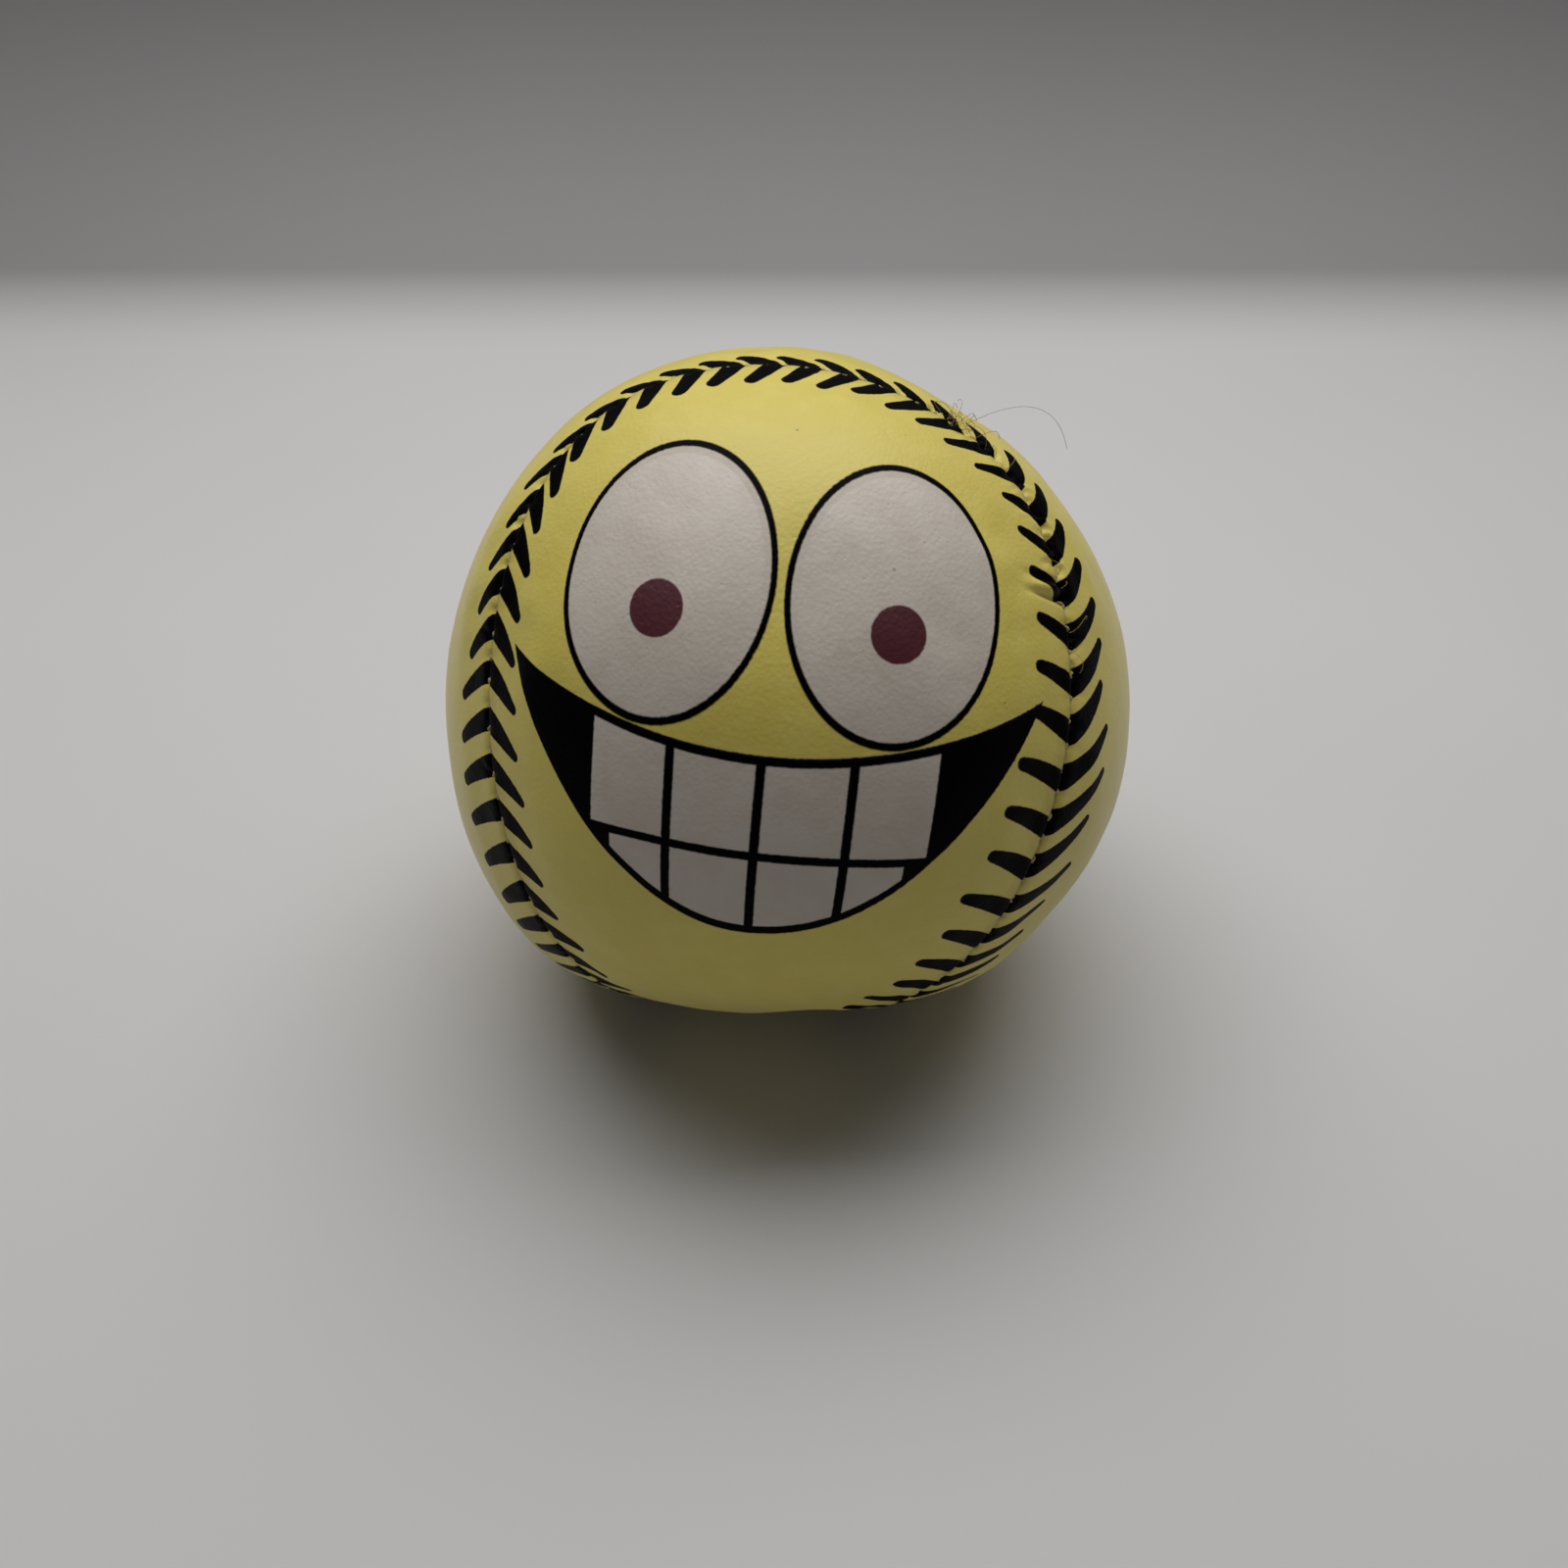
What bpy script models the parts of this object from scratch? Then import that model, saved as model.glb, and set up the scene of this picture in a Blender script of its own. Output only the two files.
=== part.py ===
"""Soft sewn ball: two bent dumbbell panels, one seam, fibre filling.

The ball rests on the underside of its face panel.  The origin is the centre of
that flat contact patch, +Z is up and the face lobe looks towards -Y.  The seam
is one closed curve shared by both panels, and every piece is lofted from it.
"""
import math

import bmesh
import bpy
import numpy as np
from mathutils import Matrix

# Overall form, in metres and radians
BALL_RADIUS = 0.0485
CENTRE_HEIGHT = 0.0432
FLOOR_BLEND = 0.0004
SEAM_RIDGE = 0.027
UNDER_DIP = 0.109
TOP_DIP = 0.030
UNDER_WIDTH = 0.472
TOP_WIDTH = 0.33
UNDER_LEAN = 0.121
TOP_LEAN = 0.062
HEIGHT_GAIN = 0.028
DEPTH_GAIN = 0.012

# Seam curve and how the ball is turned
WAIST_HALF_ANGLE = math.radians(20)
SEAM_SWING = 0.3736
SEAM_SQUARENESS = 0.176
LOBE_TILT = math.radians(19.6)
LOBE_YAW = math.radians(-4.6)
LOBE_ROLL = math.radians(3.8)
LOBE_TIP_SHARE = 0.78
FRONT_TURN = math.radians(-135)

# Leather, its turned-in allowance and the layers under it
GAP = 0.0003
LAYER_GAP = 0.00062
SKIN = 0.0008
BEND_RADIUS = 0.0011
FLANGE_DEPTH = 0.0052
BACKING = 0.0010
BACKING_INSET = 0.0022
FILLING_INSET = 0.0024
TRENCH_FOOT = 0.00204
FILLING_CLEARANCE = 0.0006

# Stitches: one hole through both flanges at each station
STITCH_COUNT = 72
HOLE_HALF_WIDTH = 0.0011
HOLE_HALF_HEIGHT = 0.0010
HOLE_DEPTH = 0.0026
THREAD_RADIUS = 0.0002
LOOP_HALF_WIDTH = 0.0005
LOOP_HALF_HEIGHT = 0.00038
LOOP_REACH = 0.00036
CLOSING_FIRST = 2
CLOSING_COUNT = 4

DOME_STEPS = (0.16, 0.4, 0.7, 1.0)
CURVE_SAMPLES = 5760
TANGENT_STEP = 1e-3
CREASE_ANGLE = math.radians(40)

LOBE_AXIS = np.array((1.0, 1.0, 0.0)) / math.sqrt(2)
CROSS_AXIS = np.array((1.0, -1.0, 0.0)) / math.sqrt(2)
WAIST_AXIS = np.array((0.0, 0.0, -1.0))

YELLOW = (0.62, 0.55, 0.16, 1.0)
KNIT = (0.78, 0.77, 0.72, 1.0)
FIBRE = (0.86, 0.86, 0.84, 1.0)
THREAD = (0.70, 0.60, 0.18, 1.0)
LEATHER_ROUGHNESS = 0.42
YARN_ROUGHNESS = 0.6
KNIT_ROUGHNESS = 0.9
FIBRE_ROUGHNESS = 0.95


def unit(vectors):
    """Scale each row to length one."""
    return vectors / np.linalg.norm(vectors, axis=-1, keepdims=True)


def ball_turn():
    """Rotation from the seam's own axes to the resting ball."""
    turn = (Matrix.Rotation(LOBE_YAW, 3, "Z")
            @ Matrix.Rotation(-LOBE_TILT, 3, "X")
            @ Matrix.Rotation(LOBE_ROLL, 3, "Y")
            @ Matrix.Rotation(FRONT_TURN, 3, "Z"))
    return np.array(turn)


TURN = ball_turn()
CENTRE = np.array((0.0, 0.0, CENTRE_HEIGHT))


def seam_directions(angle):
    """Unit vectors of the seam, whose four quarters are alike."""
    straight = 1 - SEAM_SWING
    rise = (straight - SEAM_SWING) / math.tan(WAIST_HALF_ANGLE)
    wave = np.sin(2 * angle) + SEAM_SQUARENESS * np.sin(6 * angle)
    return unit(np.stack((
        straight * np.cos(angle) + SEAM_SWING * np.cos(3 * angle),
        straight * np.sin(angle) - SEAM_SWING * np.sin(3 * angle),
        rise * wave / (1 - SEAM_SQUARENESS)), axis=-1))


def angles_at(fractions):
    """Curve parameters at fractions of the seam's length from the face lobe's tip."""
    angle = np.linspace(0, 2 * math.pi, CURVE_SAMPLES + 1) + math.pi / 4
    points = seam_directions(angle)
    steps = np.linalg.norm(np.diff(points, axis=0), axis=1)
    length = np.concatenate(([0.0], np.cumsum(steps)))
    turns = np.floor(fractions)
    inside = np.interp((fractions - turns) * length[-1], length, angle)
    return inside + turns * 2 * math.pi, length[-1] * BALL_RADIUS


def shape_radius(directions):
    """Ball radius: raised at the seam's corners, flat across each waist, leaning."""
    lobe = directions @ LOBE_AXIS
    cross = directions @ CROSS_AXIS
    waist = directions @ WAIST_AXIS
    ridge = SEAM_RIDGE * (cross ** 2 - lobe ** 2) * waist
    below, above = np.maximum(waist, 0) ** 2, np.maximum(-waist, 0) ** 2
    under = np.exp(-(cross / UNDER_WIDTH) ** 4) * below
    top = np.exp(-(lobe / TOP_WIDTH) ** 2) * above
    east, north, up = (directions @ TURN.T).T
    stretch = HEIGHT_GAIN * (up ** 2 - 1 / 3) + DEPTH_GAIN * (north ** 2 - east ** 2)
    lean = cross * (UNDER_LEAN * below + TOP_LEAN * above)
    dips = UNDER_DIP * under + TOP_DIP * top
    return BALL_RADIUS * (1 + ridge + lean + stretch - dips)


def rest_on_floor(points, depth):
    """Flatten what would pass below a plane that lies depth above the table."""
    height = points[:, 2] - depth
    blended = (height + FLOOR_BLEND) ** 2 / (4 * FLOOR_BLEND)
    lifted = np.where(height < FLOOR_BLEND, blended, height)
    points[:, 2] = np.where(height < -FLOOR_BLEND, 0.0, lifted) + depth
    return points


def surface(directions, depth=0.0):
    """World points at a depth under the ball's outer surface."""
    radius = shape_radius(directions) - depth
    world = (directions * radius[:, None]) @ TURN.T + CENTRE
    return rest_on_floor(world, depth)


class SeamFrames:
    """Points and local axes along the seam at given fractions of its length."""

    def __init__(self, fractions):
        self.angles, self.length = angles_at(np.asarray(fractions))
        self.directions = seam_directions(self.angles)
        ahead = seam_directions(self.angles + TANGENT_STEP)
        behind = seam_directions(self.angles - TANGENT_STEP)
        self.along = unit(ahead - behind)
        self.across = unit(np.cross(self.directions, self.along))

    def directions_beside(self, offset):
        """Directions beside the seam; a positive offset lies on the face panel."""
        return unit(self.directions + self.across * offset / BALL_RADIUS)

    def place(self, offset, depth, shift=0.0):
        """World points beside the seam, below the surface and shifted along it."""
        radius = shape_radius(self.directions)[:, None]
        local = (self.directions * (radius - depth) + self.across * offset
                 + self.along * shift)
        return rest_on_floor(local @ TURN.T + CENTRE, depth)


def face_side_sign():
    """+1 when across points from the seam into the face panel."""
    probe = SeamFrames([0.0])
    return math.copysign(1.0, float(probe.across[0] @ LOBE_AXIS))


class Panel:
    """One dumbbell panel: rings of points from the seam to its middle line."""

    def __init__(self, is_face):
        self.is_face = is_face
        self.sign = face_side_sign() if is_face else -face_side_sign()
        half = HOLE_HALF_WIDTH / SeamFrames([0.0]).length
        centres = (np.arange(STITCH_COUNT) + 0.5) / STITCH_COUNT
        self.centres = SeamFrames(centres)
        self.edges = SeamFrames(np.stack((centres - half, centres + half), axis=1).ravel())

    def edge_ring(self, offset, depth):
        """Two points a stitch, beside the seam."""
        return self.edges.place(self.sign * offset, depth)

    def middle_line(self):
        """Directions on the panel's middle line opposite each stitch."""
        waist = WAIST_AXIS if self.is_face else -WAIST_AXIS
        lobe = LOBE_AXIS if self.is_face else CROSS_AXIS
        seam = self.centres.directions
        angle = np.arctan2(seam @ lobe, seam @ waist) * LOBE_TIP_SHARE
        return np.cos(angle)[:, None] * waist + np.sin(angle)[:, None] * lobe

    def dome_ring(self, share, depth):
        """One point a stitch, a share of the way from the seam to the middle line."""
        near = self.centres.directions_beside(self.sign * BACKING_INSET)
        return surface(unit(near * (1 - share) + self.middle_line() * share), depth)

    def mirror_stitch(self, index):
        """The stitch facing this one across the panel's middle line."""
        tip = 0 if self.is_face else STITCH_COUNT // 4
        return (2 * tip - 1 - index) % STITCH_COUNT


class Loft:
    """A surface collected ring by ring and built as one mesh."""

    def __init__(self):
        self.mesh = bmesh.new()

    def ring(self, points):
        return [self.mesh.verts.new(point) for point in points]

    def face(self, corners, flip):
        distinct = list(dict.fromkeys(corners))
        if len(distinct) > 2:
            self.mesh.faces.new(reversed(distinct) if flip else distinct)

    def band(self, low, high, flip, open_columns=()):
        count = len(low)
        for index in range(count):
            after = (index + 1) % count
            if index not in open_columns:
                self.face((low[index], low[after], high[after], high[index]), flip)

    def halving_band(self, low, high, flip):
        """Join a ring of two points a stitch to a ring of one."""
        count = len(high)
        for index in range(count):
            after = (index + 1) % count
            left, right = low[2 * index], low[2 * index + 1]
            self.face((left, right, high[index]), flip)
            self.face((right, low[2 * after], high[after], high[index]), flip)

    def dome(self, panel, edge, depth, flip):
        """Close a panel from a ring of two points a stitch to its middle line."""
        previous = self.ring(panel.dome_ring(DOME_STEPS[0], depth))
        self.halving_band(edge, previous, flip)
        for share in DOME_STEPS[1:-1]:
            current = self.ring(panel.dome_ring(share, depth))
            self.band(previous, current, flip)
            previous = current
        middle = panel.dome_ring(DOME_STEPS[-1], depth)
        verts = [None] * STITCH_COUNT
        for index in range(STITCH_COUNT):
            mirror = panel.mirror_stitch(index)
            verts[index] = verts[mirror] or self.mesh.verts.new(middle[index])
        self.band(previous, verts, flip)

    def build(self, name):
        data = bpy.data.meshes.new(name)
        self.mesh.to_mesh(data)
        self.mesh.free()
        return bpy.data.objects.new(name, data)


def material(name, color, roughness):
    """A plain non-metallic Principled material."""
    made = bpy.data.materials.new(name)
    made.use_nodes = True
    shader = made.node_tree.nodes["Principled BSDF"]
    shader.inputs["Base Color"].default_value = color
    shader.inputs["Roughness"].default_value = roughness
    shader.inputs["Metallic"].default_value = 0.0
    return made


def finish(piece, collection, look):
    """Shade a piece smooth with crisp folds and file it with the others."""
    collection.objects.link(piece)
    piece.data.materials.append(look)
    if piece.type == "MESH":
        piece.data.shade_smooth()
        piece.data.set_sharp_from_angle(angle=CREASE_ANGLE)


def thicken(piece, thickness):
    """Give an open surface its thickness, inwards from the drawn side."""
    solid = piece.modifiers.new("thickness", "SOLIDIFY")
    solid.thickness = thickness
    solid.offset = -1
    solid.use_quality_normals = True


def skin_profile():
    """Offset and depth of the leather's outer side, from its raw edge to the bend."""
    wall = GAP / 2
    bend = BEND_RADIUS * (1 - math.cos(math.radians(45)))
    return ((wall, FLANGE_DEPTH),
            (wall, HOLE_DEPTH + HOLE_HALF_HEIGHT),
            (wall, HOLE_DEPTH - HOLE_HALF_HEIGHT),
            (wall, BEND_RADIUS),
            (wall + bend, bend),
            (wall + BEND_RADIUS, 0.0))


def add_skin(name, panel, collection, look):
    """Outer panel: domed leather with its edge folded in and pierced."""
    loft = Loft()
    flip = panel.sign < 0
    holes = range(0, 2 * STITCH_COUNT, 2)
    rings = [loft.ring(panel.edge_ring(*step)) for step in skin_profile()]
    for index, (low, high) in enumerate(zip(rings, rings[1:])):
        loft.band(low, high, flip, holes if index == 1 else ())
    loft.dome(panel, rings[-1], 0.0, flip)
    piece = loft.build(name)
    thicken(piece, SKIN)
    finish(piece, collection, look)


def add_backing(name, panel, collection, look):
    """Cloth bonded under the dome of a panel and trimmed short of the fold."""
    loft = Loft()
    flip = panel.sign < 0
    depth = SKIN + LAYER_GAP
    edge = loft.ring(panel.edge_ring(BACKING_INSET, depth))
    loft.dome(panel, edge, depth, flip)
    piece = loft.build(name)
    thicken(piece, BACKING)
    finish(piece, collection, look)


def add_filling(panels, collection, look):
    """Fibre core with a trench that clears the folded edges and the threads."""
    loft = Loft()
    floor = FLANGE_DEPTH + FILLING_CLEARANCE
    depth = SKIN + BACKING + 2 * LAYER_GAP
    trench = loft.ring(panels[0].edge_ring(0.0, floor))
    for panel in panels:
        flip = panel.sign < 0
        foot = loft.ring(panel.edge_ring(TRENCH_FOOT, floor))
        shoulder = loft.ring(panel.edge_ring(FILLING_INSET, depth))
        loft.band(trench, foot, flip)
        loft.band(foot, shoulder, flip)
        loft.dome(panel, shoulder, depth, flip)
    finish(loft.build("fibre_stuffing"), collection, look)


def thread_run_offset():
    """How far from the seam's middle a thread lies when it runs along a flange."""
    return GAP / 2 + SKIN + GAP + THREAD_RADIUS


def lockstitch_path(side):
    """One thread of the lockstitch; side is +1 on the face flange and -1 opposite."""
    first = CLOSING_FIRST + CLOSING_COUNT
    order = np.arange(first, first + STITCH_COUNT - CLOSING_COUNT)
    frames = SeamFrames((order + 0.5) / STITCH_COUNT)
    run = side * thread_run_offset()
    reach = -side * LOOP_REACH
    rise = side * LOOP_HALF_HEIGHT
    corners = ((-LOOP_HALF_WIDTH, run, -rise), (-LOOP_HALF_WIDTH, reach, -rise),
               (LOOP_HALF_WIDTH, reach, rise), (LOOP_HALF_WIDTH, run, rise))
    sign = face_side_sign()
    rows = [frames.place(sign * offset, HOLE_DEPTH - lift, shift)
            for shift, offset, lift in corners]
    return np.stack(rows, axis=1).reshape(-1, 3)


def ladder_path():
    """The hand-sewn thread that closes the filling opening."""
    order = np.arange(CLOSING_FIRST, CLOSING_FIRST + CLOSING_COUNT)
    frames = SeamFrames((order + 0.5) / STITCH_COUNT)
    run = face_side_sign() * thread_run_offset()
    near = frames.place(run, HOLE_DEPTH)
    far = frames.place(-run, HOLE_DEPTH)
    path = []
    for index in range(CLOSING_COUNT):
        pair = (near[index], far[index])
        path.extend(pair if index % 2 == 0 else reversed(pair))
    return np.array(path)


def add_thread(name, path, collection, look):
    """Thread along a polyline, four-sided so that the whole seam stays light."""
    data = bpy.data.curves.new(name, "CURVE")
    data.dimensions = "3D"
    data.bevel_depth = THREAD_RADIUS
    data.bevel_resolution = 0
    data.use_fill_caps = True
    spline = data.splines.new("POLY")
    spline.points.add(len(path) - 1)
    for point, place in zip(spline.points, path):
        point.co = (*place, 1.0)
    finish(bpy.data.objects.new(name, data), collection, look)


def build():
    for old in list(bpy.data.objects):
        bpy.data.objects.remove(old, do_unlink=True)
    collection = bpy.data.collections.new("soft_ball")
    bpy.context.scene.collection.children.link(collection)
    face, side = Panel(True), Panel(False)
    leather_face = material("face_leather", YELLOW, LEATHER_ROUGHNESS)
    leather_side = material("side_leather", YELLOW, LEATHER_ROUGHNESS)
    knit_face = material("face_knit", KNIT, KNIT_ROUGHNESS)
    knit_side = material("side_knit", KNIT, KNIT_ROUGHNESS)
    add_skin("face_panel", face, collection, leather_face)
    add_skin("side_panel", side, collection, leather_side)
    add_backing("face_panel_backing", face, collection, knit_face)
    add_backing("side_panel_backing", side, collection, knit_side)
    add_filling((face, side), collection, material("fibre", FIBRE, FIBRE_ROUGHNESS))
    for name, path in (("needle_thread", lockstitch_path(1)),
                       ("bobbin_thread", lockstitch_path(-1)),
                       ("closing_thread", ladder_path())):
        add_thread(name, path, collection, material(name + "_yarn", THREAD, YARN_ROUGHNESS))


build()
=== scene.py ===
"""Looks of the sewn novelty softball: leather, seam, threads and printed marks.

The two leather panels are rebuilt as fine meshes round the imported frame.  Both
are lofted from the seam, the one curve they share: each ring of points runs
beside it, and the rings step from the turned-in allowance over the fold and
across the panel to its middle line.  Print is ink in the leather's material.
"""

import math
from dataclasses import dataclass

import bmesh
import bpy
import numpy as np
from mathutils import Matrix, Vector
from mathutils.kdtree import KDTree


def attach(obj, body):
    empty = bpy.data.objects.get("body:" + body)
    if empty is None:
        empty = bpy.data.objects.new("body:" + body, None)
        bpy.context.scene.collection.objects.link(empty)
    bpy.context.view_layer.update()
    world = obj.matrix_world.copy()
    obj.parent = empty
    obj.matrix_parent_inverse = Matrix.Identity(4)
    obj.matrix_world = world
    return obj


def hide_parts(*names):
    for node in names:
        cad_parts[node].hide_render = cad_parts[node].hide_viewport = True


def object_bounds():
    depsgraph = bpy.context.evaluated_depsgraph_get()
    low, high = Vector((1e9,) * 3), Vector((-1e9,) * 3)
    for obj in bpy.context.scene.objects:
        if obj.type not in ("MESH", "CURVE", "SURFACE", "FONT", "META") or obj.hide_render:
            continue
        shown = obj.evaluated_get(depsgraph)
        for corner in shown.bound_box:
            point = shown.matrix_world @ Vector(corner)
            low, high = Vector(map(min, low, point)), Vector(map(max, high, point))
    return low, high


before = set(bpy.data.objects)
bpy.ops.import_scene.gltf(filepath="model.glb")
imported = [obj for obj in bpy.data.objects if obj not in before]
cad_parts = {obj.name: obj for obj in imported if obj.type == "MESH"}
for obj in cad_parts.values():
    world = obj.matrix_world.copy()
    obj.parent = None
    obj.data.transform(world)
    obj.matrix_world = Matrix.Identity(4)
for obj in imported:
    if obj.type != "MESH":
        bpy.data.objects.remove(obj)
CAD_LOW, CAD_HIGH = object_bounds()

MM = 0.001
DICE = np.random.default_rng(7)

# ------------ the ball's form
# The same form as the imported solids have, in ball radii.
SEAM_RIDGE = 0.027
UNDER_DIP = 0.109
TOP_DIP = 0.030
UNDER_WIDTH = 0.472
TOP_WIDTH = 0.33
UNDER_LEAN = 0.121
TOP_LEAN = 0.062
HEIGHT_GAIN = 0.028
DEPTH_GAIN = 0.012
FLOOR_BLEND = 0.4 * MM

WAIST_HALF_ANGLE = math.radians(20)
SEAM_SWING = 0.3736
SEAM_SQUARENESS = 0.176
LOBE_TILT = math.radians(19.6)
LOBE_YAW = math.radians(-4.6)
LOBE_ROLL = math.radians(3.8)
LOBE_TIP_SHARE = 0.78
CURVE_SAMPLES = 11520

LOBE_AXIS = np.array((1.0, 1.0, 0.0)) / math.sqrt(2)
CROSS_AXIS = np.array((1.0, -1.0, 0.0)) / math.sqrt(2)
WAIST_AXIS = np.array((0.0, 0.0, -1.0))
RIGHT_AXIS = CROSS_AXIS


def unit(vectors):
    """Scale each row to length one."""
    return vectors / np.linalg.norm(vectors, axis=-1, keepdims=True)


def ball_turn():
    """Rotation from the seam's own axes to the resting ball."""
    turn = (Matrix.Rotation(LOBE_YAW, 3, "Z")
            @ Matrix.Rotation(-LOBE_TILT, 3, "X")
            @ Matrix.Rotation(LOBE_ROLL, 3, "Y")
            @ Matrix.Rotation(math.radians(-135), 3, "Z"))
    return np.array(turn)


TURN = ball_turn()


def seam_directions(angle):
    """Unit vectors of the seam, whose four quarters are alike."""
    straight = 1 - SEAM_SWING
    rise = (straight - SEAM_SWING) / math.tan(WAIST_HALF_ANGLE)
    wave = np.sin(2 * angle) + SEAM_SQUARENESS * np.sin(6 * angle)
    return unit(np.stack((
        straight * np.cos(angle) + SEAM_SWING * np.cos(3 * angle),
        straight * np.sin(angle) - SEAM_SWING * np.sin(3 * angle),
        rise * wave / (1 - SEAM_SQUARENESS)), axis=-1))


def form_radius(directions):
    """Distance from centre to surface in ball radii."""
    lobe = directions @ LOBE_AXIS
    cross = directions @ CROSS_AXIS
    waist = directions @ WAIST_AXIS
    ridge = SEAM_RIDGE * (cross ** 2 - lobe ** 2) * waist
    below, above = np.maximum(waist, 0) ** 2, np.maximum(-waist, 0) ** 2
    under = np.exp(-(cross / UNDER_WIDTH) ** 4) * below
    top = np.exp(-(lobe / TOP_WIDTH) ** 2) * above
    east, north, up = (directions @ TURN.T).T
    stretch = HEIGHT_GAIN * (up ** 2 - 1 / 3) + DEPTH_GAIN * (north ** 2 - east ** 2)
    lean = cross * (UNDER_LEAN * below + TOP_LEAN * above)
    return 1 + ridge + lean + stretch - UNDER_DIP * under - TOP_DIP * top


def fit_to_frame(low, high, count=20000):
    """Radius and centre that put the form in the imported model's box."""
    index = np.arange(count) + 0.5
    height = 1 - 2 * index / count
    turn = index * math.pi * (3 - math.sqrt(5))
    level = np.sqrt(1 - height ** 2)
    sphere = np.stack((level * np.cos(turn), level * np.sin(turn), height), axis=-1)
    form = (sphere * form_radius(sphere)[:, None]) @ TURN.T
    radius = (high.x - low.x) / np.ptp(form[:, 0])
    centre = np.array((low.x - radius * form[:, 0].min(),
                       low.y - radius * form[:, 1].min(),
                       high.z - radius * form[:, 2].max()))
    return radius, centre


RADIUS, CENTRE = fit_to_frame(CAD_LOW, CAD_HIGH)
FLOOR = CAD_LOW.z


def rest_on_floor(points, depth):
    """Flatten what would pass below a plane that lies depth above the floor."""
    height = points[:, 2] - FLOOR - depth
    blended = (height + FLOOR_BLEND) ** 2 / (4 * FLOOR_BLEND)
    lifted = np.where(height < FLOOR_BLEND, blended, height)
    points[:, 2] = np.where(height < -FLOOR_BLEND, 0.0, lifted) + FLOOR + depth
    return points


class SeamCurve:
    """The seam as fractions of its length, from the face lobe's tip to the right."""

    def __init__(self):
        self.angle = np.linspace(0, 2 * math.pi, CURVE_SAMPLES + 1) + math.pi / 4
        points = seam_directions(self.angle)
        steps = np.linalg.norm(np.diff(points, axis=0), axis=1)
        self.run = np.concatenate(([0.0], np.cumsum(steps)))
        self.length = self.run[-1] * RADIUS

    def angles_at(self, fractions):
        """Curve angles at fractions of the length, also past a full round."""
        turns = np.floor(fractions)
        inside = np.interp((fractions - turns) * self.run[-1], self.run, self.angle)
        return inside + turns * 2 * math.pi


SEAM = SeamCurve()


def surface(directions, depth, sunk=0.0):
    """World points under the plain form; depth is the layer's, sunk the relief's."""
    radius = form_radius(directions) * RADIUS - depth - sunk
    world = (directions * radius[:, None]) @ TURN.T + CENTRE
    return rest_on_floor(world, depth)


class Beside:
    """Local axes at points of the seam, and positions beside it."""

    def __init__(self, fractions):
        step = 1e-3
        self.fractions = np.asarray(fractions)
        angles = SEAM.angles_at(self.fractions)
        self.directions = seam_directions(angles)
        self.along = unit(seam_directions(angles + step) - seam_directions(angles - step))
        self.across = unit(np.cross(self.directions, self.along))

    def leaning(self, offset, shift=0.0):
        """Directions off the seam by an offset across it and a shift along it."""
        lean = (self.across * np.reshape(offset, (-1, 1))
                + self.along * np.reshape(shift, (-1, 1)))
        return unit(self.directions + lean / RADIUS)

    def place(self, offset, depth, shift=0.0):
        """World points off the seam, under the surface and shifted along it."""
        return surface(self.leaning(offset, shift), depth)


FACE_SIDE = math.copysign(1.0, float(Beside([0.0]).across[0] @ LOBE_AXIS))

# ------------ stitches and marks
# Places along the seam are fractions of its length; phases count marks.
MARKS = 108
STITCHES_PER_MARK = 2
STITCH_START = 0.55
MARK_CROWDING = 0.11
CLOSING_START = 0.034
CLOSING_END = 0.081
CLOSING_PULLS = 6
PUCKER = 0.0795


def mark_phase(fractions):
    """Marks passed since the lobe's tip; they stand closer at the four tips."""
    swing = MARKS * MARK_CROWDING / (8 * math.pi)
    return MARKS * fractions + swing * np.sin(8 * math.pi * fractions)


def fraction_of_mark(phase):
    """Where along the seam a mark phase lies."""
    table = np.linspace(-1, 2, 6001)
    return np.interp(phase, mark_phase(table), table)


def along_seam(fractions, knots):
    """A value that runs round the seam, straight between (fraction, value) knots."""
    places, values = zip(*knots)
    return np.interp(fractions, places, values, period=1.0)


def bump(value, width):
    """A soft bell, one at zero."""
    return np.exp(-(value / width) ** 2)


def fade(value, start, end):
    """Smooth step from one at start to nothing at end."""
    share = np.clip((value - start) / (end - start), 0, 1)
    return 1 - share * share * (3 - 2 * share)


def wrapped(difference):
    """Difference of two seam fractions, the short way round."""
    return (difference + 0.5) % 1 - 0.5


MARK_STEPS = 26
MARK_ROOT = 1.6 * MM
MARKS_IN_REACH = range(-2, 4)
SWEEP_JITTER = 5
LENGTH_JITTER = 0.12
WIDTH_JITTER = 0.1


def scatter(number):
    """A fixed value between -0.5 and 0.5 that looks random from mark to mark."""
    value = np.sin(number * 12.9898) * 43758.5453
    return value - np.floor(value) - 0.5


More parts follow.
